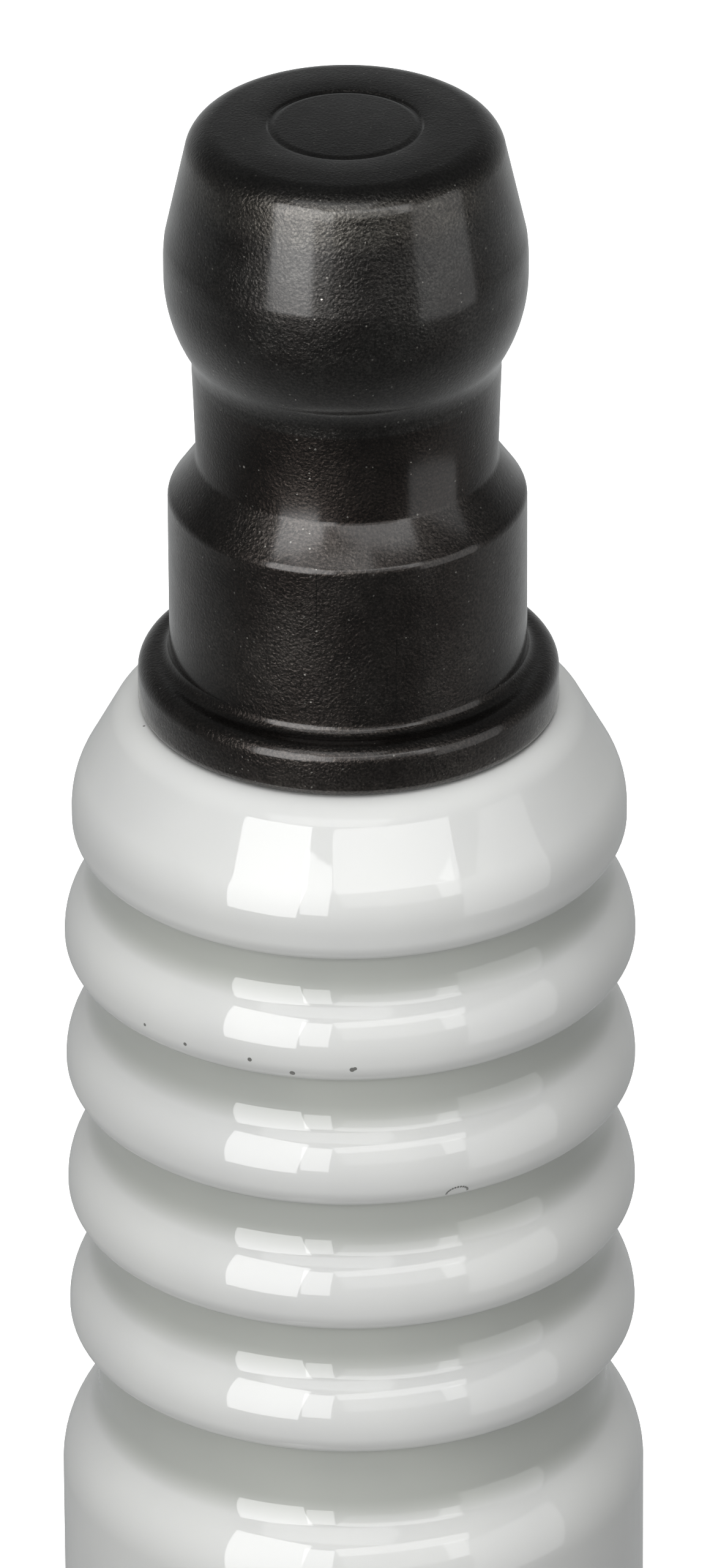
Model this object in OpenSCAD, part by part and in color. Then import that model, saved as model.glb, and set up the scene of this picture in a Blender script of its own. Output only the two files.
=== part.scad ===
/* [Standard sizes] */
// Height of the terminal's top above the shell's seat
overall = 53; // [52:0.5:56]
// Thread reach below the shell's seat
reach = 19; // [18:0.5:21]
// Major diameter of the metric thread
thread_d = 13.92; // [13.86:0.02:13.96]
// Pitch of the thread
thread_pitch = 1.25; // [1.2:0.05:1.3]
// Width of the hexagon across its flats
hex_af = 16; // [15.8:0.1:16.2]
// Diameter of the solid snap terminal's head
terminal_d = 6.35; // [6.25:0.05:6.4]
// Gap between the two electrodes
gap = 0.9; // [0.6:0.1:1.2]

/* [Insulator] */
// Diameter of the smooth barrel that the boot grips
barrel_d = 10.42; // [10.3:0.02:10.5]
// Diameter over the ribs
rib_d = 10.1; // [10.06:0.02:10.2]
// Diameter at the floor of the grooves
groove_d = 9.22; // [9.1:0.02:9.3]
// Distance from one rib to the next
rib_pitch = 2.51; // [2.48:0.01:2.54]
// Number of full ribs between the crown and the barrel
rib_count = 4; // [2:1:4]
// Diameter of the crown, the rounded top
crown_d = 9.79; // [9.7:0.01:9.9]
// Angle that a rib's steep underside turns through, 90 being a flat ledge
under = 71; // [68:1:76]

/* [Terminal] */
// Diameter of the narrow neck that a clip snaps into
neck_d = 5.4; // [5.3:0.05:5.5]
// Diameter of the flange that rests on the insulator
flange_d = 7.4; // [7.3:0.02:7.6]
// Thickness of that flange
flange_t = 0.95; // [0.85:0.05:1.05]
// Distance from the terminal's top to the flange's underside
terminal_h = 11.25; // [11.15:0.05:11.4]

/* [Gasket] */
// Height of the folded gasket before it is crushed
gasket_h = 2; // [1.9:0.1:2.1]
// How far the loose gasket can drop along its neck
gasket_travel = 0.9; // [0.7:0.1:1]

/* [Hidden] */
$fn = 96;

// Clearances between pieces that are fitted together
slip = 0.02;
play = 0.05;

// Heights. Z = 0 is the plane of the cylinder head, the underside of the gasket.
seat_z = gasket_h + play;
top_z = seat_z + overall;
end_z = seat_z - reach;
insulator_top = top_z - terminal_h;
nose_tip = end_z - 1.5;
electrode_tip = nose_tip - 1.5;
bore_step = seat_z - 6.5;
core_top = seat_z - 4.6;
glass_low = core_top + slip;
resistor_low = seat_z - 1.5;
resistor_top = seat_z + 8;
stud_tip = seat_z + 11;
knurl_top = stud_tip + 4.4;
collar_top = seat_z + 6.4;
hex_z = seat_z + 8.7;
hex_top = seat_z + 15.2;
lip_top = seat_z + 17.2;
wire_low = seat_z + 12.35;
wire_high = seat_z + 15.43;

// Radii of the ceramic
barrel_r = barrel_d / 2;
rib_r = rib_d / 2;
groove_r = groove_d / 2;
crown_r = crown_d / 2;
held_r = barrel_r - 0.05;
bore_r = 1.95;
wire_bore_r = 1.3;
shoulder_r = 6.05;
body_r = 4.45;
nose_r = 3.35;
tip_r = 2.35;

// Radii of the metal pieces
core_r = 0.72;
shank_r = 1.85;
crest_r = thread_d / 2;
root_r = crest_r - 0.6134 * thread_pitch;
relief_r = 6.3;
collar_r = 9.5;
chamber_r = 6.12;
waist_r = 7.2;
pocket_r = 4.6;
lip_r = 5.36;
wire_r = 0.38;
wire_ring_r = 5.69;

// Shape of the ribs: round edge over a steep underside, small fillet, then a cove and a long round back.
rib_edge = 0.47;
crown_edge = 0.42;
floor_fillet = 0.12;
cove = 0.85;
rib_back = 1.63;
barrel_back = 1.8;
crown_z = top_z - 13.32;
first_rib = top_z - 15.8;

// Points of an arc of radius r about c, from one angle to the other.
function arc(c, r, from, to, n = 8) =
    [for (k = [0:n]) let (a = from + (to - from) * k / n) c + r * [cos(a), sin(a)]];

// The steep underside below a crest of radius r at height z, down to the groove's floor.
function underside(r, z, edge) =
    let (fall = (r - groove_r - (edge + floor_fillet) * (1 - cos(under))) / sin(under),
         floor_z = z - (edge + floor_fillet) * sin(under) - fall * cos(under))
    concat(arc([r - edge, z], edge, 0, -under),
           arc([groove_r + floor_fillet, floor_z], floor_fillet, 180 - under, 180, 4));

// The gentle top side above a crest of radius r at height z: a cove, then a convex back.
function topside(r, z, back) =
    let (tilt = acos(1 - (r - groove_r) / (cove + back)), rise = (cove + back) * sin(tilt))
    concat(arc([groove_r + cove, z + rise], cove, 180, 180 + tilt),
           arc([r - back, z], back, tilt, 0));

// The snap terminal, from its flange up to its slightly dished top.
module terminal_half() {
    r = terminal_d / 2;
    bulge = 2.8;
    neck_r = neck_d / 2;
    flange_r = flange_d / 2;
    flange_top = insulator_top + flange_t;
    polygon(concat(
        [[0, insulator_top - 2], [shank_r, insulator_top - 2], [shank_r, insulator_top]],
        arc([flange_r - 0.16, insulator_top + 0.16], 0.16, -90, 0, 5),
        arc([flange_r - 0.3, flange_top - 0.3], 0.3, 0, 90),
        arc([r + 0.165, flange_top + 0.2], 0.2, -90, -180, 6),
        arc([r - 0.28, top_z - 7.2], 0.25, 0, 36, 5),
        [[neck_r - 0.06, top_z - 6.41]],
        arc([neck_r + 1.05, top_z - 4.7], 1.06, 176, 151, 5),
        arc([r - bulge, top_z - 2.83], bulge, -28, 0),
        arc([r - bulge, top_z - 2.53], bulge, 0, 8, 4),
        arc([2.22, top_z - 0.6], 0.58, 8, 88, 10),
        [[1.42, top_z - 0.01], [1.35, top_z - 0.05], [1.3, top_z - 0.05], [1.22, top_z], [0, top_z]]));
}

// The shank runs down the bore and ends in a grooved tip that the glass grips.
module terminal_stud() {
    groove = 0.55;
    color([0.12, 0.11, 0.11]) {
        rotate_extrude() terminal_half();
        translate([0, 0, knurl_top]) cylinder(r = shank_r, h = insulator_top - knurl_top - 1);
        rotate_extrude() polygon(concat(
            [[0, stud_tip], [1.3, stud_tip]],
            [for (k = [0:6], p = [[1.5, 0.2], [1.5, 0.38], [1.3, 0.5], [1.3, 0.63]])
                [p[0], stud_tip + p[1] + groove * k]],
            [[1.5, stud_tip + 4.1], [1.5, knurl_top + 0.1], [0, knurl_top + 0.1]]));
    }
}

module insulator() {
    crown_low = crown_z - 0.22;
    barrel_z = first_rib - rib_pitch * rib_count - 0.83;
    outside = concat(
        [[bore_r, insulator_top]],
        arc([3.58, insulator_top - 0.7], 0.7, 88, 31),
        arc([crown_r - 1.63, crown_z], 1.63, 31, 0),
        underside(crown_r, crown_low, crown_edge),
        [for (i = [0:rib_count - 1]) let (z = first_rib - rib_pitch * i)
            each concat(topside(rib_r, z, rib_back), underside(rib_r, z - 0.05, rib_edge))],
        topside(barrel_r, barrel_z, barrel_back),
        [[barrel_r, lip_top + play], [held_r, lip_top - 0.85], [held_r, seat_z + 12.3],
         [shoulder_r, seat_z + 11.2], [shoulder_r, seat_z + 1.4],
         [body_r, seat_z - 0.5], [body_r, seat_z - 7.2], [nose_r, seat_z - 8]],
        arc([tip_r - 0.35, nose_tip + 0.35], 0.35, 0, -90, 6));
    inside = [[wire_bore_r, nose_tip], [wire_bore_r, bore_step], [bore_r, bore_step + 0.45]];
    color([0.93, 0.93, 0.92]) rotate_extrude() polygon(concat(outside, inside));
}

// Fused plugs of conductive glass hold the stud and the electrode and close the bore.
module upper_glass_seal() {
    color([0.1, 0.13, 0.14]) difference() {
        translate([0, 0, resistor_top + slip])
            cylinder(r = bore_r - slip, h = knurl_top - resistor_top - 2 * slip);
        translate([0, 0, stud_tip - slip]) cylinder(r = 1.5 + slip, h = knurl_top);
    }
}

module resistor() {
    color([0.2, 0.19, 0.18]) translate([0, 0, resistor_low])
        cylinder(r = bore_r - slip, h = resistor_top - resistor_low);
}

module lower_glass_seal() {
    color([0.1, 0.13, 0.14]) translate([0, 0, glass_low])
        cylinder(r = bore_r - slip, h = resistor_low - slip - glass_low);
}

// Nickel rod with a flanged head that hangs on the step in the bore.
module centre_electrode() {
    rod_r = wire_bore_r - play;
    color([0.72, 0.7, 0.66]) rotate_extrude() polygon([
        [0, electrode_tip], [rod_r - 0.1, electrode_tip], [rod_r, electrode_tip + 0.1],
        [rod_r, bore_step + 0.05], [shank_r, bore_step + 0.5], [shank_r, core_top],
        [core_r + slip, core_top], [core_r + slip, electrode_tip + 2.2], [0, electrode_tip + 2.2]]);
}

module electrode_core() {
    color([0.78, 0.45, 0.3]) translate([0, 0, electrode_tip + 2.2 + slip])
        cylinder(r = core_r, h = core_top - electrode_tip - 2.2 - slip);
}

// Hexagon for the socket, with its corners turned off to a cone above and below.
module hexagon() {
    corner = hex_af / sqrt(3);
    slope = (corner - hex_af / 2 + 0.15) * tan(30);
    intersection() {
        translate([0, 0, hex_z]) cylinder(r = corner, h = hex_top - hex_z, $fn = 6);
        rotate_extrude() polygon([[0, hex_z], [hex_af / 2 - 0.15, hex_z], [corner, hex_z + slope],
            [corner, hex_top - slope], [hex_af / 2 - 0.15, hex_top], [0, hex_top]]);
    }
}

// One ring-shaped ridge of the thread, as four points going up.
function ridge(z) =
    let (flat = thread_pitch / 16, foot = flat + (crest_r - root_r) * tan(30))
    [[root_r, z - foot], [crest_r, z - flat], [crest_r, z + flat], [root_r, z + foot]];

// Outline of the turned shell, up its outside and back down its stepped bore.
module shell_half() {
    first_ridge = -gasket_travel - 2 * play - thread_pitch / 16;
    ridges = floor((first_ridge - end_z - 0.85) / thread_pitch);
    waist = (collar_top + hex_z) / 2;
    polygon(concat(
        [[pocket_r, end_z], [root_r - 0.2, end_z], [root_r, end_z + 0.2]],
        [for (k = [ridges:-1:0]) each ridge(first_ridge - k * thread_pitch)],
        [[relief_r, first_ridge + 0.7], [relief_r, seat_z],
         [collar_r - 0.25, seat_z], [collar_r, seat_z + 0.25], [collar_r, collar_top - 0.3],
         [collar_r - 0.3, collar_top], [waist_r + 0.3, collar_top], [waist_r, collar_top + 0.25]],
        arc([waist_r - 1.2, waist], 1.55, -34, 34, 6),
        [[waist_r, hex_z - 0.25], [waist_r + 0.3, hex_z], [waist_r + 0.3, hex_top]],
        arc([6.2, hex_top + 0.9], 1.1, 0, 90),
        [[lip_r, lip_top], [lip_r, seat_z + 16.3], [chamber_r, seat_z + 15.55],
         [chamber_r, seat_z + 1.3], [4.55, seat_z - 0.6], [4.55, seat_z - 7.48], [3.7, seat_z - 8.1],
         [3.7, seat_z - 10.6], [pocket_r, seat_z - 11.5]]));
}

module shell() {
    color([0.75, 0.76, 0.77]) {
        rotate_extrude() shell_half();
        difference() {
            hexagon();
            translate([0, 0, hex_z - 1]) cylinder(r = 7, h = hex_top - hex_z + 2);
        }
    }
}

// Flat nickel bar, welded to the shell's end and bent over the centre electrode.
module ground_electrode() {
    width = 2.7;
    bar = 1.3;
    outer = 5.9;
    face_z = electrode_tip - gap;
    bend = 1;
    color([0.72, 0.7, 0.66]) rotate([90, 0, 0]) translate([0, 0, -width / 2]) linear_extrude(width)
        polygon(concat(
            [[outer - bar, end_z], [outer, end_z]],
            arc([outer - bar - bend, face_z + bend], bend + bar, 0, -90),
            [[-1.25, face_z - bar], [-1.25, face_z]],
            arc([outer - bar - bend, face_z + bend], bend, -90, 0)));
}

module wire_ring(z) {
    color([0.55, 0.55, 0.56]) translate([0, 0, z]) rotate_extrude()
        translate([wire_ring_r, 0]) circle(r = wire_r, $fn = 32);
}

module upper_wire_ring() {
    wire_ring(wire_high);
}

module lower_wire_ring() {
    wire_ring(wire_low);
}

// Packed talc powder that seals the space between the two wire rings.
module talc_ring() {
    low = wire_low + wire_r + slip;
    color([0.86, 0.85, 0.82]) translate([0, 0, low]) difference() {
        cylinder(r = chamber_r - slip, h = wire_high - wire_r - slip - low);
        translate([0, 0, -1]) cylinder(r = held_r + slip, h = 9);
    }
}

// Thin steel cone between the ceramic's lower step and the shell's ledge.
module packing_ring() {
    fall = 0.8 / 1.1;
    color([0.6, 0.6, 0.6]) translate([0, 0, seat_z - 7.2]) rotate_extrude() polygon([
        [3.75, -fall * 0.7 - 0.03], [3.75, -fall * 0.7 - 0.28],
        [4.4, -fall * 0.05 - 0.28], [4.4, -fall * 0.05 - 0.03]]);
}

// Section of a bend in the sheet between two angles.
module sheet_bend(c, sheet, inner, from, to) {
    translate(c) polygon(concat(arc([0, 0], inner + sheet, from, to), arc([0, 0], inner, to, from)));
}

// Folded sheet ring. Its lip is smaller than the thread, so it stays on the plug.
module crush_gasket() {
    sheet = 0.4;
    layer = (gasket_h - sheet) / 2;
    inner = (layer - sheet) / 2;
    low = inner + sheet;
    high = low + layer;
    out_r = 8.75;
    in_r = 7.3;
    color([0.7, 0.71, 0.72]) rotate_extrude() {
        for (k = [0:2]) translate([in_r, k * layer]) square([out_r - in_r, sheet]);
        sheet_bend([out_r, high], sheet, inner, -90, 90);
        sheet_bend([out_r, low], sheet, inner, -90, 0);
        sheet_bend([in_r, low], sheet, inner, 90, 270);
        sheet_bend([in_r, high], sheet, inner, 90, 180);
    }
}

terminal_stud();
insulator();
upper_glass_seal();
resistor();
lower_glass_seal();
centre_electrode();
electrode_core();
shell();
ground_electrode();
upper_wire_ring();
talc_ring();
lower_wire_ring();
packing_ring();
crush_gasket();
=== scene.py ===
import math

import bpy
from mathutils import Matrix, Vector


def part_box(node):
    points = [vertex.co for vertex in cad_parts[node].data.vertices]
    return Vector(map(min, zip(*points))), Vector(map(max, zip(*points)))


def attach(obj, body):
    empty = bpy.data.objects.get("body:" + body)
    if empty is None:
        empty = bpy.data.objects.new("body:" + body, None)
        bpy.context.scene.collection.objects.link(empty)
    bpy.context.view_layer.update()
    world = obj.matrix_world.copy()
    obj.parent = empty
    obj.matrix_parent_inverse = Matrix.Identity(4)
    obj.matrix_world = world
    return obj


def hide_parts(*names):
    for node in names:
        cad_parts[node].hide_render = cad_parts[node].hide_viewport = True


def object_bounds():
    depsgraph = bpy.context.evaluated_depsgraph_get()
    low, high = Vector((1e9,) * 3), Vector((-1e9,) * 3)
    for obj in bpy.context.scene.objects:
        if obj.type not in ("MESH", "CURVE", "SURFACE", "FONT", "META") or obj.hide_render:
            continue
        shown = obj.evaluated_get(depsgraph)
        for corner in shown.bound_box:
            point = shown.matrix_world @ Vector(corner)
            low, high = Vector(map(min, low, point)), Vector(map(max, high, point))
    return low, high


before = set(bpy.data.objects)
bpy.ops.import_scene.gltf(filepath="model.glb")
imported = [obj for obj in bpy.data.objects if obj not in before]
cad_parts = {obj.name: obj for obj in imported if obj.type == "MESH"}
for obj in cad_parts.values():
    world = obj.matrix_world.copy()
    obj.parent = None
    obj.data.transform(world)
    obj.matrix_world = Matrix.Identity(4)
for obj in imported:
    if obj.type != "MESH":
        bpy.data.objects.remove(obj)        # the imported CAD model, in metres, standing on the same axis as here

# %% [markdown]
# # A spark plug, turned piece by piece
# Nearly every part of a spark plug is round: the steel parts are cold formed or turned, and the ceramic
# is pressed and ground between wheels. So the main tool here is one that works like a lathe. It draws
# half an outline beside the axis and spins it once round. The CAD model gives every size that matters,
# so the first cells only load it and read its boxes.

MM = 0.001               # sizes below are in millimetres and Blender's are in metres
WELD = 0.0004 * MM       # points nearer than this become one
cad_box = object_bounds()
print("whole plug, mm:", [round(side / MM, 2) for side in cad_box[1] - cad_box[0]])

# %% Read the heights that the pieces are built from, in millimetres
def low(node):
    """The lower corner of a CAD node's box, in millimetres."""
    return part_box(node)[0] / MM


def high(node):
    """The upper corner of a CAD node's box, in millimetres."""
    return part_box(node)[1] / MM


lip_height = 17.2
top = high("terminal_stud").z
flange_under = high("insulator").z
shell_end = low("shell").z
shell_top = high("shell").z
seat = shell_top - lip_height
print("terminal top", round(top, 2), "shell from", round(shell_end, 2), "to", round(shell_top, 2))

# %% [markdown]
# ## The camera
# It stands in front and looks down on the plug at about 27 degrees, from a third of a metre, through a
# long lens. That fills the frame with the terminal and the ribs. It could look straight at the axis, but
# it is aimed a hair to one side and rolled by a third of a degree, as a hand-set camera is.

# %% Set the camera
view_elevation = math.radians(26.9)
view_distance = 320.2
roll = math.radians(-0.35)
head = Vector((0, 0, top - 2.68))
aim = Vector((0.102, 0, top - 12.97))
eye = head + view_distance * Vector((0, -math.cos(view_elevation), math.sin(view_elevation)))

camera_data = bpy.data.cameras.new("camera")
camera_data.lens = 423.9
camera_data.sensor_width = 36
camera_data.clip_start = 0.01
camera_data.clip_end = 100
camera = bpy.data.objects.new("camera", camera_data)
bpy.context.scene.collection.objects.link(camera)
camera.location = eye * MM
camera.rotation_euler = (aim - eye).to_track_quat("-Z", "Y").to_euler()
camera.rotation_euler.rotate_axis("Z", roll)
bpy.context.scene.camera = camera
print("camera at, mm:", [round(value, 1) for value in eye])

# %% [markdown]
# ## A lathe
# A turned part is one outline spun about the plug's axis. It could be a curve with a Screw modifier, but
# drawing the outline with extrude and turning it with spin shows each step. Arcs are given by a centre, a
# radius and two angles, so a round edge never needs a list of points.

# %% Arc helper and selection helper
def arc(centre, radius, start, end, count=12):
    """Points of an arc from one angle to another, in degrees, about a centre (r, z)."""
    points = []
    for step in range(count + 1):
        angle = math.radians(start + (end - start) * step / count)
        points.append((centre[0] + radius * math.cos(angle), centre[1] + radius * math.sin(angle)))
    return points


def deselect():
    """Leave edit mode and select nothing, so that an operator acts only on the new piece."""
    if bpy.context.object and bpy.context.object.mode != "OBJECT":
        bpy.ops.object.mode_set(mode="OBJECT")
    bpy.ops.object.select_all(action="DESELECT")


def apply_place(piece):
    """Put the piece's place, turn and scale into its mesh."""
    deselect()
    piece.select_set(True)
    bpy.context.view_layer.objects.active = piece
    bpy.ops.object.transform_apply(location=True, rotation=True, scale=True)


# %% The lathe itself
def draw(name, outline):
    """A wire in the XZ plane, extruded point by point from a tiny plane merged to its centre."""
    deselect()
    last = Vector((outline[0][0], 0, outline[0][1])) * MM
    bpy.ops.mesh.primitive_plane_add(size=MM, location=last)
    piece = bpy.context.object
    piece.name = name
    apply_place(piece)
    bpy.ops.object.mode_set(mode="EDIT")
    bpy.ops.mesh.select_mode(type="VERT")
    bpy.ops.mesh.select_all(action="SELECT")
    bpy.ops.mesh.merge(type="CENTER")
    for r, z in outline[1:]:
        point = Vector((r, 0, z)) * MM
        bpy.ops.mesh.extrude_vertices_move(TRANSFORM_OT_translate={"value": point - last})
        last = point
    return piece


def finish_mesh(piece, smooth=35):
    """Weld the seams and poles, turn every face outwards and shade the round parts smooth."""
    bpy.context.view_layer.objects.active = piece
    if piece.mode != "EDIT":
        bpy.ops.object.mode_set(mode="EDIT")
    bpy.ops.mesh.select_all(action="SELECT")
    bpy.ops.mesh.remove_doubles(threshold=WELD)
    bpy.ops.mesh.normals_make_consistent(inside=False)
    deselect()
    piece.select_set(True)
    bpy.ops.object.shade_smooth_by_angle(angle=math.radians(smooth))
    return piece


def turn(name, outline, steps=96, smooth=35):
    """Spin an outline once about the axis."""
    piece = draw(name, outline)
    bpy.ops.mesh.select_all(action="SELECT")
    bpy.ops.mesh.spin(steps=steps, angle=math.tau, center=(0, 0, 0), axis=(0, 0, 1))
    return finish_mesh(piece, smooth)


def report(piece):
    """Print what a finished piece measures."""
    sides = [round(side / MM, 2) for side in piece.dimensions]
    print(piece.name, "mm", sides, "faces", len(piece.data.polygons))

# %% [markdown]
# ## The ceramic insulator
# This is alumina, pressed as a blank and ground to its outline, then glazed and fired. The crown sits
# under the terminal's flange. Below it come ribs with a gentle top side and a steep, undercut underside,
# which make the path along the surface longer. The ribs could be rings joined to a cylinder, but a grinding
# wheel cuts the whole outline at once, so they belong to the one outline that is spun. Each rib is the
# same two curves, so a loop makes them.

# %% Sizes of the ribs
crown_radius = 4.895
rib_radius = 5.05
groove_radius = 4.55
barrel_radius = 5.21
rib_pitch = 2.51
rib_count = 4
first_rib = top - 15.8
undercut = 71
floor_fillet = 0.12
cove = 0.85
rib_back = 1.4
barrel_back = 1.8
print(rib_count, "ribs,", 2 * rib_radius, "mm across and", rib_pitch, "mm apart")

# %% The two curves of a rib
def underside(r, z, edge):
    """From a crest at radius r and height z, round the edge and go in to the groove's floor."""
    turned = math.radians(undercut)
    fall = (r - groove_radius - (edge + floor_fillet) * (1 - math.cos(turned))) / math.sin(turned)
    floor = z - (edge + floor_fillet) * math.sin(turned) - fall * math.cos(turned)
    inner = arc((groove_radius + floor_fillet, floor), floor_fillet, 180 - undercut, 180, 6)
    return arc((r - edge, z), edge, 0, -undercut, 12) + inner


def topside(r, z, back):
    """Up from the groove's floor, out through a cove and round a long convex back to a crest."""
    tilt = math.acos(1 - (r - groove_radius) / (cove + back))
    rise = (cove + back) * math.sin(tilt)
    slope = math.degrees(tilt)
    out = arc((groove_radius + cove, z + rise), cove, 180, 180 + slope, 18)
    return out + arc((r - back, z), back, slope, 0, 24)


# %% Turn the insulator
nose_tip = low("insulator").z
shoulder_radius = high("insulator").x
bore_radius = 1.95
wire_bore = 1.3
head_rest = seat - 6.5
top_edge = 0.7
crown_side = 1.63
crown_turn = 31
crown_edge = 0.42
rib_edge = 0.45
crest_flat = 0.05
barrel_crest = first_rib - rib_pitch * rib_count - 0.83
ground_radius = barrel_radius - 0.05
lower_radius = 4.45
nose_edge = 0.35

outline = [(bore_radius, flange_under)]
outline += arc((3.58, flange_under - top_edge), top_edge, 90, crown_turn, 16)
outline += arc((crown_radius - crown_side, top - 13.32), crown_side, crown_turn, 0, 24)
outline += underside(crown_radius, top - 13.54, crown_edge)
for rib in range(rib_count):
    crest = first_rib - rib_pitch * rib
    outline += topside(rib_radius, crest, rib_back)
    outline += underside(rib_radius, crest - crest_flat, rib_edge)
outline += topside(barrel_radius, barrel_crest, barrel_back)
outline += [(barrel_radius, shell_top + 0.05), (ground_radius, shell_top - 0.85)]
outline += [(ground_radius, seat + 12.3), (shoulder_radius, seat + 11.2)]
outline += [(shoulder_radius, seat + 1.4), (lower_radius, seat - 0.5), (lower_radius, seat - 7.2)]
outline += [(3.35, seat - 8.0)]
outline += arc((2.0, nose_tip + nose_edge), nose_edge, 0, -90, 8)
outline += [(wire_bore + 0.1, nose_tip), (wire_bore, nose_tip + 0.1)]
outline += [(wire_bore, head_rest), (bore_radius, head_rest + 0.45), (bore_radius, flange_under)]
insulator = turn("glazed_insulator", outline, 128, 40)
report(insulator)

# %% [markdown]
# ## The snap terminal and its stud
# It is one cold-headed piece of steel: a shank that goes down the insulator's bore, a flange that rests on
# the ceramic, and a head with a neck, which a spring clip snaps under. The top keeps a faint ring from the
# heading die. The shank ends in rolled grooves that the fused glass grips. Each of these could be a
# cylinder or a sphere joined on, but they would meet in hard creases that the real piece doesn't have, so
# one outline runs from the top to the tip.

# %% Sizes of the terminal
head_radius = 3.175
bulge = 2.8
head_edge = 0.58
neck_radius = 2.7
neck_top = top - 4.7
neck_foot = top - 6.38
neck_fillet = 1.06
shoulder_edge = 0.25
flange_radius = high("terminal_stud").x
flange_top = flange_under + 0.95
flange_fillet = 0.2
flange_edge = 0.3
flange_foot = 0.16
die_mark = 1.31
print("terminal stands", round(top - flange_under, 2), "mm above the ceramic")

# %% Sizes of its stud
shank_radius = 1.85
stud_tip = seat + 11
knurl_top = stud_tip + 4.4
knurl_radius = 1.5
groove_bottom = 1.3
groove_pitch = 0.55
groove_count = 7

# %% Turn the terminal
outline = [(0, top - 0.01), (die_mark - 0.13, top - 0.01), (die_mark - 0.07, top - 0.015)]
outline += [(die_mark - 0.02, top - 0.04), (die_mark + 0.02, top - 0.04), (die_mark + 0.06, top - 0.01)]
outline += [(die_mark + 0.14, top), (1.9, top)]
outline += arc((2.22, top - 0.6), head_edge, 88, 8, 16)
outline += arc((head_radius - bulge, top - 2.53), bulge, 8, 0, 6)
outline += arc((head_radius - bulge, top - 2.83), bulge, 0, -28, 18)
outline += arc((neck_radius + 1.05, neck_top), neck_fillet, 151, 172, 10)
outline += [(neck_radius, neck_top - 0.04), (neck_radius - 0.06, neck_foot)]
outline += [(neck_radius - 0.03, neck_foot - 0.07)]
outline += arc((head_radius - 0.28, top - 7.2), shoulder_edge, 36, 0, 8)
outline += arc((head_radius + 0.165, flange_top + flange_fillet), flange_fillet, 180, 270, 8)
outline += arc((flange_radius - flange_edge, flange_top - flange_edge), flange_edge, 90, 0, 10)
outline += arc((flange_radius - flange_foot, flange_under + flange_foot), flange_foot, 0, -90, 6)
outline += [(shank_radius, flange_under), (shank_radius, knurl_top)]
for groove in range(groove_count):
    foot = knurl_top - 0.3 - groove_pitch * groove
    outline += [(knurl_radius, foot), (knurl_radius, foot - 0.18)]
    outline += [(groove_bottom, foot - 0.3), (groove_bottom, foot - 0.43)]
outline += [(1.45, stud_tip + 0.15), (groove_bottom, stud_tip), (0, stud_tip)]
terminal = turn("snap_terminal", outline, 112, 28)
report(terminal)

# %% [markdown]
# ## The shell
# The steel shell is cold formed, turned and thread rolled. It has an M14 thread, a seat for the gasket, a
# thin waist that is heated and squeezed at assembly, a hexagon for the socket and a lip crimped over the
# ceramic. The round parts come off the lathe. The thread is a true helix: one pitch of its outline goes
# through a Screw modifier, because stacked rings would never wind into a nut.

# %% Draw one pitch of the thread and screw it
thread_pitch = 1.25
thread_depth = 0.6134 * thread_pitch
flank = math.radians(30)
crest_radius = 6.96
root_radius = crest_radius - thread_depth
half_crest = thread_pitch / 16
half_root = half_crest + (crest_radius - root_radius) * math.tan(flank)
thread_low = shell_end - thread_pitch
thread_top = seat - 2.05
turns = math.ceil((thread_top - thread_low) / thread_pitch) + 1
crest = thread_low + thread_pitch / 2
outline = [(root_radius, thread_low), (root_radius, crest - half_root)]
outline += [(crest_radius, crest - half_crest), (crest_radius, crest + half_crest)]
outline += [(root_radius, crest + half_root), (root_radius, thread_low + thread_pitch)]
thread = draw("thread", outline)
deselect()
thread.select_set(True)
screw = thread.modifiers.new("thread", "SCREW")
screw.axis = "Z"
screw.angle = math.tau
screw.screw_offset = thread_pitch * MM
screw.iterations = turns
screw.steps = screw.render_steps = 64
screw.use_merge_vertices = True
screw.merge_threshold = WELD
bpy.ops.object.modifier_apply(modifier="thread")

# %% Cut the helix level at both ends and close it
bpy.ops.object.mode_set(mode="EDIT")
bpy.ops.mesh.select_all(action="SELECT")
bpy.ops.mesh.remove_doubles(threshold=WELD)
for height, side in ((shell_end + 0.02, -1), (seat - 1.2, 1)):
    bpy.ops.mesh.select_all(action="SELECT")
    bpy.ops.mesh.bisect(plane_co=(0, 0, height * MM), plane_no=(0, 0, side), use_fill=True,
                        clear_outer=True, threshold=WELD)
finish_mesh(thread)
print("thread turns", turns, "faces", len(thread.data.polygons))

# %% A helper that combines two solids
def combine(piece, tool, operation):
    """Join, cut or intersect two closed solids with a Boolean, then throw the tool away."""
    deselect()
    piece.select_set(True)
    bpy.context.view_layer.objects.active = piece
    modifier = piece.modifiers.new(operation.lower(), "BOOLEAN")
    modifier.operation = operation
    modifier.solver = "EXACT"
    modifier.object = tool
    bpy.ops.object.modifier_apply(modifier=modifier.name)
    bpy.data.objects.remove(tool, do_unlink=True)


# %% Point the thread's ends with two turned cones
first_crest = seat - 3.05
relief_radius = 6.3
point_radius = crest_radius + 0.1
outline = [(0, shell_end), (root_radius - 0.25, shell_end), (point_radius, shell_end + 1.15)]
outline += [(point_radius, first_crest), (relief_radius, first_crest + 0.35)]
outline += [(relief_radius, seat), (0, seat)]
combine(thread, turn("thread_ends", outline, 96), "INTERSECT")
print("pointed thread faces", len(thread.data.polygons))

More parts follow.
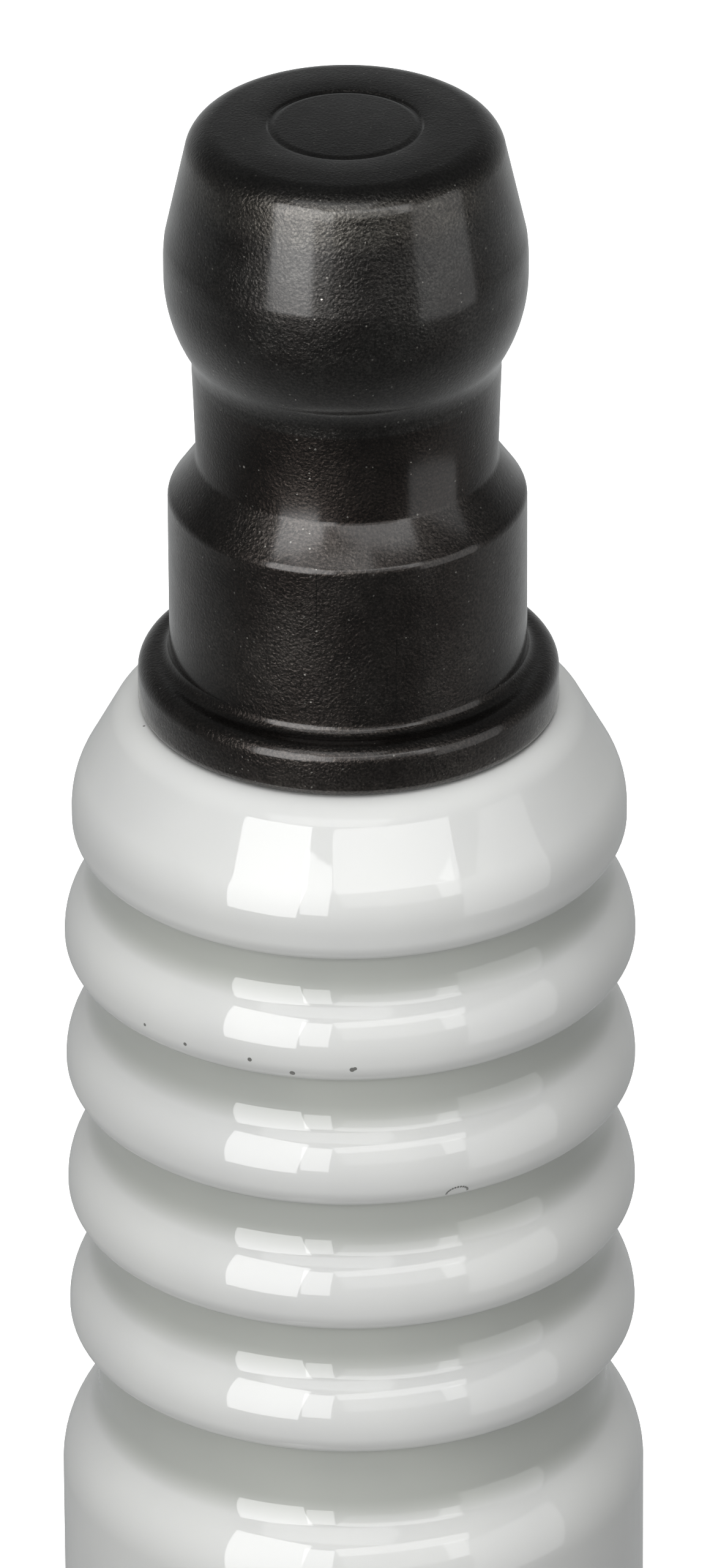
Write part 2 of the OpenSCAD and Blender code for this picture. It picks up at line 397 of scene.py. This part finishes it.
# %% Turn the collar, waist and crimped lip
collar_radius = high("shell").x
waist_radius = 7.2
waist_middle = seat + 7.55
seat_edge = 0.25
collar_edge = 0.3
waist_fillet = 0.35
hexagon_fillet = 0.3
lip_bend = 1.1
lip_radius = 5.36
talc_room = 6.12
shell_bore = 4.55
outline = [(relief_radius, seat - 2.2), (relief_radius, seat - 0.12)]
outline += arc((relief_radius + 0.12, seat - 0.12), 0.12, 180, 90, 4)
outline += arc((collar_radius - seat_edge, seat + seat_edge), seat_edge, -90, 0, 6)
outline += arc((collar_radius - collar_edge, seat + 6.1), collar_edge, 0, 90, 6)
outline += arc((waist_radius + waist_fillet, seat + 6.75), waist_fillet, 270, 180, 6)
outline += arc((waist_radius - 1.2, waist_middle), 1.55, -26, 26, 12)
outline += arc((waist_radius + hexagon_fillet, seat + 8.4), hexagon_fillet, 180, 90, 6)
outline += [(waist_radius + hexagon_fillet, seat + 15.2)]
outline += arc((6.2, seat + 16.1), lip_bend, 0, 88, 18)
outline += [(lip_radius + 0.1, shell_top), (lip_radius, shell_top - 0.1), (lip_radius, seat + 16.3)]
outline += [(talc_room, seat + 15.55), (talc_room, seat + 1.3)]
outline += [(shell_bore, seat - 0.6), (shell_bore, seat - 2.2), (relief_radius, seat - 2.2)]
shell = turn("collar", outline, 128)
report(shell)

# %% Shape the hexagon: a six-sided prism whose corners are turned off to a cone
across_flats = 16
corner = across_flats / math.sqrt(3)
corner_round = 0.35
hexagon_low = seat + 8.7
hexagon_high = seat + 15.2
hexagon_core = waist_radius - 0.3
cone_start = across_flats / 2 - 0.15
turned_off = (corner - cone_start) * math.tan(math.radians(30))
deselect()
bpy.ops.mesh.primitive_cylinder_add(
    vertices=6, radius=corner * MM, depth=(hexagon_high - hexagon_low) * MM,
    location=(0, 0, (hexagon_low + hexagon_high) / 2 * MM), rotation=(0, 0, math.radians(90)))
hexagon = bpy.context.object
hexagon.name = "hexagon"
apply_place(hexagon)
bpy.ops.object.mode_set(mode="EDIT")
bpy.ops.mesh.select_mode(type="EDGE")
bpy.ops.mesh.select_all(action="DESELECT")
bpy.ops.object.mode_set(mode="OBJECT")
for edge in hexagon.data.edges:
    a, b = (hexagon.data.vertices[index].co for index in edge.vertices)
    edge.select = abs(a.z - b.z) > MM
bpy.ops.object.mode_set(mode="EDIT")
bpy.ops.mesh.bevel(offset=corner_round * MM, segments=4)
deselect()
outline = [(hexagon_core, hexagon_low), (cone_start, hexagon_low)]
outline += [(corner, hexagon_low + turned_off), (corner, hexagon_high - turned_off)]
outline += [(cone_start, hexagon_high), (hexagon_core, hexagon_high)]
outline += [(hexagon_core, hexagon_low)]
combine(hexagon, turn("corner_cone", outline, 128), "INTERSECT")
report(hexagon)

# %% Join the shell's parts and bore the lower end
combine(shell, hexagon, "UNION")
lower_bore = 4.6
step_bore = 3.7
outline = [(0, shell_end - 1), (lower_bore, shell_end - 1), (lower_bore, seat - 11.5)]
outline += [(step_bore, seat - 10.6), (step_bore, seat - 8.1)]
outline += [(shell_bore, seat - 7.48), (shell_bore, seat + 0.5), (0, seat + 0.5)]
combine(thread, turn("lower_bore", outline, 96), "DIFFERENCE")
combine(shell, thread, "UNION")
shell.name = "threaded_shell"
finish_mesh(shell, 30)
report(shell)

# %% [markdown]
# ## The folded gasket
# A strip of thin plated steel is folded over twice and closed into a ring. Tightening the plug crushes
# the folds flat. The inner fold is smaller than the thread, so the ring stays on the plug. A plain torus
# would look much the same from afar, but the gap between the folds shows from the side, so the strip's
# folded section is drawn and spun.

# %% Turn the gasket
gasket_low = low("crush_gasket").z
gasket_height = high("crush_gasket").z - gasket_low
sheet = 0.4
flat_width = 1.45
layer = (gasket_height - sheet) / 2
inside_fold = (layer - sheet) / 2
outside_fold = inside_fold + sheet
low_fold = gasket_low + outside_fold
high_fold = low_fold + layer
out_radius = high("crush_gasket").x - outside_fold
in_radius = out_radius - flat_width

outline = arc((in_radius, high_fold), outside_fold, 180, 90, 8)
outline += arc((out_radius, high_fold), outside_fold, 90, -90, 16)
outline += arc((in_radius, low_fold), inside_fold, 90, 270, 12)
outline += arc((out_radius, low_fold), inside_fold, -90, -6, 6)
outline += arc((out_radius, low_fold), outside_fold, -2, -90, 10)
outline += arc((in_radius, low_fold), outside_fold, 270, 90, 16)
outline += arc((out_radius, high_fold), inside_fold, -90, 90, 12)
outline += arc((in_radius, high_fold), inside_fold, 90, 174, 6)
outline += [outline[0]]
gasket = turn("folded_gasket", outline, 128, 40)
report(gasket)

# %% [markdown]
# ## The electrodes
# The centre electrode is a nickel rod with a copper core, hung by its head on a step in the ceramic. The
# ground electrode is flat nickel wire, welded to the shell's end and bent over. It is made as the factory
# bends it: a short bar grows out of the shell, its end face is spun round the bend, then pulled straight.

# %% Turn the centre electrode
tip = low("centre_electrode").z
tip_edge = 0.1
rod = 1.25
rod_head = 1.85
core_radius = 0.74
core_end = tip + 2.2
outline = [(0, tip)] + arc((rod - tip_edge, tip + tip_edge), tip_edge, -90, 0, 5)
outline += [(rod, head_rest + 0.05), (rod_head, head_rest + 0.5), (rod_head, seat - 4.6)]
outline += [(core_radius, seat - 4.6), (core_radius, core_end), (0, core_end)]
centre_electrode = turn("nickel_rod", outline, 64)
report(centre_electrode)

# %% Bend the ground electrode
bar_low, bar_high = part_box("ground_electrode")
bar_low, bar_high = bar_low / MM, bar_high / MM
bar = 1.3
bend = 1.0
knee = bar_low.z + bar + bend
half_width = bar_high.y
deselect()
bpy.ops.mesh.primitive_cube_add(size=1, location=(0, 0, 0))
ground_electrode = bpy.context.object
ground_electrode.name = "bent_ground_electrode"
ground_electrode.scale = Vector((bar, 2 * half_width, bar_high.z - knee)) * MM
ground_electrode.location = Vector((bar_high.x - bar / 2, 0, (bar_high.z + knee) / 2)) * MM
apply_place(ground_electrode)


def select_faces(piece, test):
    """Select only the faces whose centre and normal pass the test."""
    bpy.ops.object.mode_set(mode="EDIT")
    bpy.ops.mesh.select_mode(type="FACE")
    bpy.ops.mesh.select_all(action="DESELECT")
    bpy.ops.object.mode_set(mode="OBJECT")
    for face in piece.data.polygons:
        face.select = test(face.center / MM, face.normal)
    bpy.ops.object.mode_set(mode="EDIT")


select_faces(ground_electrode, lambda centre, normal: normal.z < -0.9)
bpy.ops.mesh.spin(steps=14, angle=math.radians(-90), axis=(0, 1, 0),
                  center=((bar_high.x - bar - bend) * MM, 0, knee * MM))
reach = bar_high.x - bar - bend - bar_low.x
bpy.ops.mesh.extrude_region_move(TRANSFORM_OT_translate={"value": (-reach * MM, 0, 0)})
finish_mesh(ground_electrode, 30)
print("bar reaches x =", round(min(v.co.x for v in ground_electrode.data.vertices) / MM, 2), "mm")

# %% Round the bar's long edges, as drawn wire has them
bevel = ground_electrode.modifiers.new("drawn edges", "BEVEL")
bevel.width = 0.16 * MM
bevel.segments = 3
bevel.limit_method = "ANGLE"
bevel.angle_limit = math.radians(50)
deselect()
ground_electrode.select_set(True)
bpy.context.view_layer.objects.active = ground_electrode
bpy.ops.object.modifier_apply(modifier="drawn edges")
report(ground_electrode)

# %% [markdown]
# ## Which body each piece rides on
# All of the plug is one rigid body. Only the loose gasket can drop along the neck under the seat. Every
# new piece stands for the CAD node whose place it takes.

# %% Ride and replace; the table also lists each piece's finish, put on further down
made = [
    (insulator, "insulator", "plug", "glazed_alumina"),
    (terminal, "terminal_stud", "plug", "blackened_steel"),
    (shell, "shell", "plug", "plated_steel"),
    (centre_electrode, "centre_electrode", "plug", "nickel_alloy"),
    (ground_electrode, "ground_electrode", "plug", "nickel_alloy"),
    (gasket, "crush_gasket", "gasket", "gasket_steel"),
]
for piece, node, body, finish in made:
    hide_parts(node)
    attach(piece, body)
    print(piece.name, "stands for", node, "on", body)

# %% [markdown]
# ## Finishes
# Each finish is a small network of nodes on Object coordinates, so its grain keeps its real size. It could
# be a painted image, but noise needs no seams and no unwrapping on round parts. Numbers that are the same
# all over stay on the shader's own sockets. Noise gives the grain, a colour ramp turns it into patches or
# specks, and a Bump node turns it into height.

# %% Helpers for building a finish
def finish_material(name, colour, metallic=0.0, roughness=0.4):
    """A new material with one Principled shader set to plain values."""
    material = bpy.data.materials.new(name)
    material.use_nodes = True
    shader = material.node_tree.nodes["Principled BSDF"]
    shader.inputs["Base Color"].default_value = (*colour, 1)
    shader.inputs["Metallic"].default_value = metallic
    shader.inputs["Roughness"].default_value = roughness
    return material, shader


def place(material, stretch=(1, 1, 1)):
    """Object coordinates, scaled along each axis."""
    nodes = material.node_tree.nodes
    coordinates = nodes.new("ShaderNodeTexCoord")
    mapping = nodes.new("ShaderNodeMapping")
    mapping.inputs["Scale"].default_value = stretch
    material.node_tree.links.new(coordinates.outputs["Object"], mapping.inputs["Vector"])
    return mapping.outputs["Vector"]


def noise(material, size, detail=3.0, stretch=(1, 1, 1)):
    """Cloudy noise whose blotches are about `size` millimetres across."""
    texture = material.node_tree.nodes.new("ShaderNodeTexNoise")
    texture.inputs["Scale"].default_value = 1 / (size * MM)
    texture.inputs["Detail"].default_value = detail
    material.node_tree.links.new(place(material, stretch), texture.inputs["Vector"])
    return texture.outputs["Fac"]


# %% Helpers that read a place on the plug
def radius_value(material, unit):
    """Distance from the plug's axis, as a share of `unit` millimetres."""
    nodes, links = material.node_tree.nodes, material.node_tree.links
    length = nodes.new("ShaderNodeVectorMath")
    length.operation = "LENGTH"
    across = 1 / (unit * MM)
    links.new(place(material, (across, across, 0)), length.inputs[0])
    return length.outputs["Value"]


def height_value(material, low_z, high_z):
    """A value that rises from 0 to 1 between two heights in millimetres."""
    nodes, links = material.node_tree.nodes, material.node_tree.links
    split = nodes.new("ShaderNodeSeparateXYZ")
    links.new(place(material), split.inputs["Vector"])
    span = nodes.new("ShaderNodeMapRange")
    span.inputs["From Min"].default_value = low_z * MM
    span.inputs["From Max"].default_value = high_z * MM
    links.new(split.outputs["Z"], span.inputs["Value"])
    return span.outputs["Result"]

# %% Helpers that turn values into colours
def ramp(material, value, stops):
    """A colour ramp; each stop is a position and a grey value or a colour."""
    node = material.node_tree.nodes.new("ShaderNodeValToRGB")
    elements = node.color_ramp.elements
    while len(elements) < len(stops):
        elements.new(0.5)
    for element, (position, colour) in zip(elements, stops):
        element.position = position
        element.color = (*colour, 1) if isinstance(colour, tuple) else (colour, colour, colour, 1)
    material.node_tree.links.new(value, node.inputs["Fac"])
    return node.outputs["Color"]


def blend(material, amount, first, second, mode="MIX"):
    """Mix two colours by a grey value."""
    node = material.node_tree.nodes.new("ShaderNodeMix")
    node.data_type = "RGBA"
    node.blend_type = mode
    links = material.node_tree.links
    for socket, value in ((node.inputs[0], amount), (node.inputs[6], first), (node.inputs[7], second)):
        if isinstance(value, bpy.types.NodeSocket):
            links.new(value, socket)
        elif isinstance(value, tuple):
            socket.default_value = (*value, 1)
        else:
            socket.default_value = value
    return node.outputs[2]

# %% Helpers that put spots on a surface
mark_radius = 5.0        # the surface is unrolled as if it were a cylinder of this radius


def unrolled(material):
    """The ceramic's surface laid flat: X is millimetres round from the front, Z is the height."""
    nodes, links = material.node_tree.nodes, material.node_tree.links
    split = nodes.new("ShaderNodeSeparateXYZ")
    per_mm = 1 / MM
    links.new(place(material, (per_mm, -per_mm, per_mm)), split.inputs["Vector"])
    angle = nodes.new("ShaderNodeMath")
    angle.operation = "ARCTAN2"
    links.new(split.outputs["X"], angle.inputs[0])
    links.new(split.outputs["Y"], angle.inputs[1])
    round_way = nodes.new("ShaderNodeMath")
    round_way.operation = "MULTIPLY"
    round_way.inputs[1].default_value = mark_radius
    links.new(angle.outputs[0], round_way.inputs[0])
    flat = nodes.new("ShaderNodeCombineXYZ")
    links.new(round_way.outputs[0], flat.inputs["X"])
    links.new(split.outputs["Z"], flat.inputs["Z"])
    return flat.outputs["Vector"]


def marks(material, places):
    """Small dots at given places (round, height, radius) on the unrolled surface."""
    nodes, links = material.node_tree.nodes, material.node_tree.links
    flat = unrolled(material)
    total = None
    for round_way, height, radius in places:
        far = nodes.new("ShaderNodeVectorMath")
        far.operation = "DISTANCE"
        far.inputs[1].default_value = (round_way, 0, height)
        links.new(flat, far.inputs[0])
        inside = nodes.new("ShaderNodeMath")
        inside.operation = "LESS_THAN"
        inside.inputs[1].default_value = radius
        links.new(far.outputs["Value"], inside.inputs[0])
        if total is None:
            total = inside.outputs[0]
        else:
            larger = nodes.new("ShaderNodeMath")
            larger.operation = "MAXIMUM"
            links.new(total, larger.inputs[0])
            links.new(inside.outputs[0], larger.inputs[1])
            total = larger.outputs[0]
    return total


def specks(material, spacing, size, share):
    """White dots about `size` mm wide, on some of the cells of a grid `spacing` mm apart."""
    nodes, links = material.node_tree.nodes, material.node_tree.links
    cells = nodes.new("ShaderNodeTexVoronoi")
    cells.inputs["Scale"].default_value = 1 / (spacing * MM)
    links.new(place(material), cells.inputs["Vector"])
    near = nodes.new("ShaderNodeMath")
    near.operation = "LESS_THAN"
    near.inputs[1].default_value = size / spacing / 2
    links.new(cells.outputs["Distance"], near.inputs[0])
    split = nodes.new("ShaderNodeSeparateColor")
    links.new(cells.outputs["Color"], split.inputs["Color"])
    chosen = nodes.new("ShaderNodeMath")
    chosen.operation = "LESS_THAN"
    chosen.inputs[1].default_value = share
    links.new(split.outputs["Red"], chosen.inputs[0])
    both = nodes.new("ShaderNodeMath")
    both.operation = "MULTIPLY"
    links.new(near.outputs[0], both.inputs[0])
    links.new(chosen.outputs[0], both.inputs[1])
    return both.outputs[0]

# %% Helpers that drive the shader
def bump(material, height, depth, socket="Normal", under=None):
    """Turn a value into relief about `depth` millimetres high, on the shader's normal."""
    nodes, links = material.node_tree.nodes, material.node_tree.links
    node = nodes.new("ShaderNodeBump")
    node.inputs["Distance"].default_value = depth * MM
    links.new(height, node.inputs["Height"])
    if under is not None:
        links.new(under, node.inputs["Normal"])
    links.new(node.outputs["Normal"], nodes["Principled BSDF"].inputs[socket])
    return node.outputs["Normal"]


def feed(material, value, socket):
    """Link a value to one of the shader's inputs."""
    material.node_tree.links.new(value, material.node_tree.nodes["Principled BSDF"].inputs[socket])

# %% [markdown]
# ### Glazed alumina
# The body is white, a little cool, and lets light in for a fraction of a millimetre. The glaze over it
# is clear glass, so it is a coat with almost no roughness. A glass shell round a white core would do the
# same with real refraction, but it renders slowly and shows nothing more on a glaze this thin. It flowed
# in the kiln, so its surface waves slightly. The groove floors are painted darker: a painted shade, with
# a faint greenish tint of thicker glaze. A few grains of dirt are fired into it, and a curled hair lies
# on the second rib.

# %% The body's colour, the painted groove shade and the glaze over it
glaze, shader = finish_material("glazed_alumina", (0.8, 0.81, 0.8), roughness=0.5)
shader.inputs["Specular IOR Level"].default_value = 0.3
shader.inputs["Coat Weight"].default_value = 1.0
shader.inputs["Coat Roughness"].default_value = 0.03
shader.inputs["Coat IOR"].default_value = 1.6
shader.inputs["Subsurface Weight"].default_value = 0.1
shader.inputs["Subsurface Radius"].default_value = (1.0, 1.0, 0.85)
shader.inputs["Subsurface Scale"].default_value = 0.3 * MM
clouds = ramp(glaze, noise(glaze, 3.0, 2), [(0.35, (0.605, 0.61, 0.6)), (0.65, (0.64, 0.645, 0.63))])
# Painted shade: the groove floors are painted darker, with a faint greenish tint of thicker glaze; the crown
# above the ribs is left unpainted.
groove_shade_and_tint = ramp(glaze, radius_value(glaze, 5.0), [(0.911, (0.74, 0.755, 0.72)), (0.94, (1, 1, 1))])
above_ribs = height_value(glaze, top - 14.0, top - 13.0)
groove_shade_and_tint = blend(glaze, above_ribs, groove_shade_and_tint, (1, 1, 1))
clouds = blend(glaze, 1.0, clouds, groove_shade_and_tint, "MULTIPLY")
bump(glaze, noise(glaze, 0.9, 2), 0.0025, "Coat Normal")
print("glaze nodes", len(glaze.node_tree.nodes))

# %% Fired-in dirt, and the curled hair
dirty = blend(glaze, specks(glaze, 0.9, 0.05, 0.06), clouds, (0.2, 0.2, 0.19))
spots = [(-3.98, first_rib - 0.02, 0.03), (-3.06, first_rib - 0.08, 0.035), (-1.79, first_rib - 0.06, 0.04)]
spots += [(-1.03, first_rib - 0.24, 0.05), (0.02, first_rib - 0.1, 0.045), (0.07, first_rib - 0.08, 0.035)]
hair_round, hair_height = 1.9, first_rib - rib_pitch - 0.3
for step in range(13):
    angle = math.radians(15 * step)
    spots.append((hair_round + 0.2 * math.cos(angle), hair_height + 0.13 * math.sin(angle), 0.022))
dirty = blend(glaze, marks(glaze, spots), dirty, (0.16, 0.16, 0.15))
feed(glaze, dirty, "Base Color")
print("dirt spots", len(spots))

# %% [markdown]
# ### Blackened steel
# The terminal is blacked steel: a thin dark oxide over a surface that cold forming left finely pitted. It
# could be a plain black paint, but oxide on steel shines like a metal, so it is a metal with a very dark,
# slightly brown colour. Coarse noise lays brown and grey patches, fine noise makes the pits, and rare
# bright specks are dust and worn points. A band below the top edge is painted lighter, a painted
# highlight, and the neck under the bulb is painted darker, a painted shade.

# %% The patches of oxide, the painted neck shade and the painted top-edge highlight
black, shader = finish_material("blackened_steel", (0.08, 0.075, 0.07), metallic=1.0, roughness=0.35)
shader.inputs["Coat Weight"].default_value = 1.0
shader.inputs["Coat Roughness"].default_value = 0.145
patches = ramp(black, noise(black, 1.2, 5), [(0.3, (0.042, 0.037, 0.034)), (0.7, (0.085, 0.081, 0.076))])
above_neck = height_value(black, neck_top - 0.06, neck_top)
patches = blend(black, above_neck, blend(black, 1.0, patches, (1.0, 0.93, 0.9), "MULTIPLY"), patches)
# Painted shade: the neck under the bulb, between its foot and its top, is painted darker.
above_shoulder = height_value(black, neck_foot - 0.06, neck_foot + 0.02)
painted_neck_shade = blend(black, above_shoulder, (1, 1, 1), (0.6, 0.56, 0.54))
painted_neck_shade = blend(black, above_neck, painted_neck_shade, (1, 1, 1))
patches = blend(black, 1.0, patches, painted_neck_shade, "MULTIPLY")
# Painted highlight: a band just below the top edge is painted lighter, standing in for the lamps' reflection on
# the rounded edge.
under_edge = height_value(black, top - 1.1, top - 0.75)
over_edge = height_value(black, top - 0.35, top - 0.15)
painted_edge_highlight = blend(black, over_edge, blend(black, under_edge, (1, 1, 1), (1.7, 1.68, 1.6)), (1, 1, 1))
patches = blend(black, 1.0, patches, painted_edge_highlight, "MULTIPLY")
print("oxide nodes", len(black.node_tree.nodes))

# %% Its grain, specks, scratches and pits
grain = ramp(black, noise(black, 0.045, 2), [(0.35, 0.4), (0.7, 1.15)])
patches = blend(black, 1.0, patches, grain, "MULTIPLY")
glints = blend(black, specks(black, 0.11, 0.035, 0.1), patches, (0.26, 0.25, 0.23))
worn = blend(black, specks(black, 0.45, 0.05, 0.08), glints, (0.6, 0.57, 0.53))
scratches = ramp(black, noise(black, 0.5, 1, (8, 8, 0.3)), [(0.755, 0.0), (0.765, 1.0)])
worn = blend(black, scratches, worn, (0.02, 0.018, 0.016))
feed(black, worn, "Base Color")
feed(black, ramp(black, noise(black, 0.35, 4), [(0.3, 0.27), (0.7, 0.4)]), "Roughness")
pits = bump(black, noise(black, 0.055, 3), 0.018)
bump(black, noise(black, 0.5, 3), 0.006, under=pits)
print("blackened steel nodes", len(black.node_tree.nodes))

# %% [markdown]
# ### Bare and plated metals
# The shell is nickel plated, bright but not polished. Turning left fine rings round it. They could be cut
# into the mesh, but they are far finer than its faces, so the noise is stretched into thin level lines
# and used as relief. The plate is a little cloudy. The gasket, the wire rings, the electrodes and the
# copper core get the same finish in their own colours.

# %% One metal finish, made five times
def turned_metal(name, colour, roughness):
    """A metal finish with fine turned rings and faint clouds."""
    metal = finish_material(name, colour, metallic=1.0, roughness=roughness)[0]
    dark = tuple(0.9 * part for part in colour)
    feed(metal, ramp(metal, noise(metal, 2.5, 2), [(0.35, dark), (0.65, colour)]), "Base Color")
    lines = noise(metal, 0.05, 2, (0.02, 0.02, 1))
    feed(metal, ramp(metal, noise(metal, 1.2, 2), [(0.3, roughness), (0.7, roughness + 0.08)]), "Roughness")
    bump(metal, lines, 0.003)
    print("metal", name)
    return metal


shell_plate = turned_metal("plated_steel", (0.66, 0.65, 0.62), 0.24)
gasket_plate = turned_metal("gasket_steel", (0.6, 0.61, 0.62), 0.32)
wire_steel = turned_metal("bare_steel", (0.42, 0.42, 0.43), 0.35)
nickel = turned_metal("nickel_alloy", (0.5, 0.48, 0.45), 0.34)
copper = turned_metal("copper", (0.78, 0.4, 0.27), 0.3)

# %% [markdown]
# ### The sealed pieces
# Glass seals, resistor and talc are never seen unless the plug is cut open. One grey would do, but each
# still gets its own finish: dark fused glass, a gritty black compound, and pale packed powder.

# %% Glass, resistor compound and talc
def gritty(name, first, second, size, roughness, depth):
    """A dull finish made of two colours of grain."""
    body = finish_material(name, first, roughness=roughness)[0]
    feed(body, ramp(body, noise(body, size, 4), [(0.4, first), (0.6, second)]), "Base Color")
    bump(body, noise(body, size, 3), depth)
    print("grain", name)
    return body


seal_glass = gritty("seal_glass", (0.02, 0.03, 0.035), (0.05, 0.065, 0.07), 0.3, 0.15, 0.004)
compound = gritty("resistor_compound", (0.03, 0.028, 0.026), (0.09, 0.085, 0.08), 0.12, 0.8, 0.01)
talc = gritty("talc", (0.62, 0.6, 0.55), (0.78, 0.77, 0.73), 0.15, 0.9, 0.012)

# %% Put the finishes on the pieces
for piece, finish in ((insulator, glaze), (terminal, black), (shell, shell_plate),
                      (centre_electrode, nickel), (ground_electrode, nickel), (gasket, gasket_plate)):
    piece.data.materials.clear()
    piece.data.materials.append(finish)

sealed = {
    "upper_glass_seal": seal_glass, "lower_glass_seal": seal_glass, "resistor": compound,
    "electrode_core": copper, "upper_wire_ring": wire_steel, "lower_wire_ring": wire_steel,
    "talc_ring": talc, "packing_ring": wire_steel,
}
for node, finish in sealed.items():
    for material_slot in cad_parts[node].material_slots:
        material_slot.material = finish
print("finishes:", sorted(material.name for material in bpy.data.materials if material.users))

# %% [markdown]
# ## The studio
# A glazed white part shows its lamps as bright windows, so each lamp in front is placed for the shape it
# leaves on the crown. A tall bright one stands on the left and a wide dim one on the right, with a bright
# strip along its top. Narrow strips soften their edges. A fill on the far right and one lamp high in front
# lift the shade. One overhead lights the tops and is kept out of reflections. The floor could be a backdrop
# that curves up, but a plain pale sheet under the plug's lowest point is enough. It is clear from below.

# %% Lay the floor
deselect()
bpy.ops.mesh.primitive_plane_add(size=30, location=(0, 0, cad_box[0].z - 0.1 * MM))
floor = bpy.context.object
floor.name = "floor"
paper, shader = finish_material("pale_paper", (0.9, 0.9, 0.9), roughness=0.9)
shader.inputs["Emission Color"].default_value = (1, 1, 1, 1)
shader.inputs["Emission Strength"].default_value = 0.9
nodes, links = paper.node_tree.nodes, paper.node_tree.links
side = nodes.new("ShaderNodeNewGeometry")
clear = nodes.new("ShaderNodeBsdfTransparent")
one_sided = nodes.new("ShaderNodeMixShader")
links.new(side.outputs["Backfacing"], one_sided.inputs["Fac"])
links.new(shader.outputs["BSDF"], one_sided.inputs[1])
links.new(clear.outputs["BSDF"], one_sided.inputs[2])
links.new(one_sided.outputs["Shader"], nodes["Material Output"].inputs["Surface"])
floor.data.materials.append(paper)
floor.visible_glossy = False
floor.visible_diffuse = False
floor.visible_shadow = False
print("floor at z =", round(floor.location.z / MM, 2), "mm")

# %% Hang the lamps
def soft_box(name, turned, raised, distance, width, height, power):
    """A rectangular lamp aimed at the ribs; turned is to the right of the camera, raised above level."""
    data = bpy.data.lights.new(name, "AREA")
    data.shape = "RECTANGLE"
    data.size = width
    data.size_y = height
    data.energy = power
    lamp = bpy.data.objects.new(name, data)
    bpy.context.scene.collection.objects.link(lamp)
    turned, raised = math.radians(turned), math.radians(raised)
    away = Vector((math.sin(turned) * math.cos(raised), -math.cos(turned) * math.cos(raised),
                   math.sin(raised)))
    centre = Vector((0, 0, top - 15)) * MM
    lamp.location = centre + away * distance
    lamp.rotation_euler = (-away).to_track_quat("-Z", "Y").to_euler()
    lamp.visible_camera = False
    print("lamp", name, power, "W")
    return lamp


soft_box("left_box", -35, 14, 0.6, 0.32, 0.485, 1.9)
soft_box("left_edge", -14, 14, 0.6, 0.12, 0.36, 0.42)
soft_box("right_box", 21, 18, 0.6, 0.53, 0.2, 0.24)
soft_box("right_top", 21, 31.5, 0.59, 0.53, 0.09, 0.33)
soft_box("right_edge", 41, 18, 0.59, 0.085, 0.19, 0.07)
soft_box("right_fill", 66, 2, 0.6, 0.45, 0.5, 0.55)
soft_box("upper_front", -12, 50, 0.6, 0.5, 0.25, 0.42)
overhead = soft_box("overhead", 0, 85, 0.8, 0.8, 0.8, 6.5)
overhead.visible_glossy = False

# %% [markdown]
# ## The room
# What the lamps don't reach is lit by the room: dim in front and above, and brighter behind and below,
# where a pale table would be. A picture of a room could light it too, but a slope of grey is enough for
# soft reflections and comes out the same each time. The camera itself sees plain white.

# %% Light the room
world = bpy.data.worlds.new("room")
bpy.context.scene.world = world
world.use_nodes = True
nodes, links = world.node_tree.nodes, world.node_tree.links
background = nodes["Background"]
direction = nodes.new("ShaderNodeTexCoord")
slant = nodes.new("ShaderNodeVectorMath")
slant.operation = "DOT_PRODUCT"
slant.inputs[1].default_value = (0, 1, -1.2)
shade = nodes.new("ShaderNodeMapRange")
shade.inputs["From Min"].default_value = 0.2
shade.inputs["From Max"].default_value = 1.3
shade.inputs["To Min"].default_value = 0.1
shade.inputs["To Max"].default_value = 0.4
links.new(direction.outputs["Generated"], slant.inputs[0])
links.new(slant.outputs["Value"], shade.inputs["Value"])
links.new(shade.outputs["Result"], background.inputs["Strength"])
background.inputs["Color"].default_value = (0.98, 1, 1, 1)
backdrop = nodes.new("ShaderNodeBackground")
seen = nodes.new("ShaderNodeLightPath")
either = nodes.new("ShaderNodeMixShader")
links.new(seen.outputs["Is Camera Ray"], either.inputs["Fac"])
links.new(background.outputs["Background"], either.inputs[1])
links.new(backdrop.outputs["Background"], either.inputs[2])
links.new(either.outputs["Shader"], nodes["World Output"].inputs["Surface"])
backdrop.inputs["Color"].default_value = (1, 1, 1, 1)
bpy.context.scene.view_settings.view_transform = "Standard"
print("room strength", shade.inputs["To Min"].default_value, "to", shade.inputs["To Max"].default_value)
